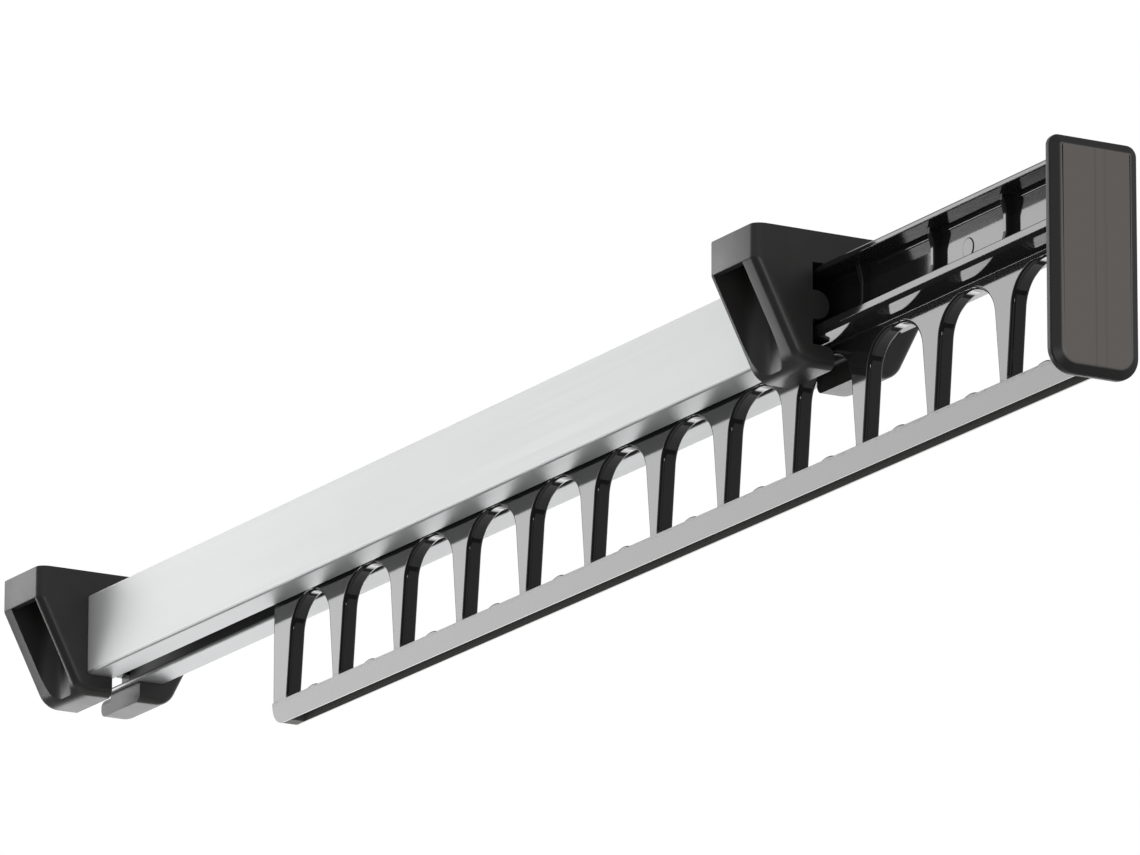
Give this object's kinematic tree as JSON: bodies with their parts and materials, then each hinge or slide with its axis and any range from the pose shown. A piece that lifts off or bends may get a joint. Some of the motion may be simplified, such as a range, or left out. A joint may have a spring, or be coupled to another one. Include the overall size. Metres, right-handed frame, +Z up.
{
  "type": "pull-out clothes rail",
  "caption": "Pull-out clothes rail: an arched plastic hanger slide with a front plate runs in an aluminium channel held under a shelf by screw-on end brackets.",
  "frame": {"origin": "centre of the four shelf screw holes, on the brackets' top faces that meet the shelf", "axes": "+Z up to the shelf, +Y along the rail towards its closed end, +X across it; the slide pulls out towards -Y"},
  "size_m": [0.0516, 0.498, 0.0602],
  "materials": {
    "channel": "satin anodised",
    "bracket": "moulded, soft sheen",
    "slide": "moulded, glossy",
    "plate": "moulded, satin face",
    "fixing": "zinc plated",
    "roller": "turned smooth"
  },
  "bodies": {
    "guide": {"channel_profile": "channel", "rear_bracket": "bracket", "front_bracket": "bracket"},
    "slide": {"arch_slide": "slide", "front_plate": "plate", "plate_screws": "fixing", "roller_axle": "fixing", "axle_clip": "fixing"},
    "left_wheel": {"left_roller": "roller"},
    "right_wheel": {"right_roller": "roller"}
  },
  "joints": [
    {"name": "slide_pull", "type": "slide", "parent": "guide", "child": "slide", "axis": [0, -1, 0], "range_m": [-0.1045, 0.176]},
    {"name": "left_roller_spin", "type": "hinge", "parent": "slide", "child": "left_wheel", "pos_m": [-0.0058, 0.07615, -0.017], "axis": [1, 0, 0], "range_deg": [-660, 1110]},
    {"name": "right_roller_spin", "type": "hinge", "parent": "slide", "child": "right_wheel", "pos_m": [0.0058, 0.07615, -0.017], "axis": [1, 0, 0], "range_deg": [-660, 1110]}
  ],
  "couplings": [
    {"joint": "left_roller_spin", "follows": "slide_pull", "rad_per_m": 109.29},
    {"joint": "right_roller_spin", "follows": "slide_pull", "rad_per_m": 109.29}
  ]
}
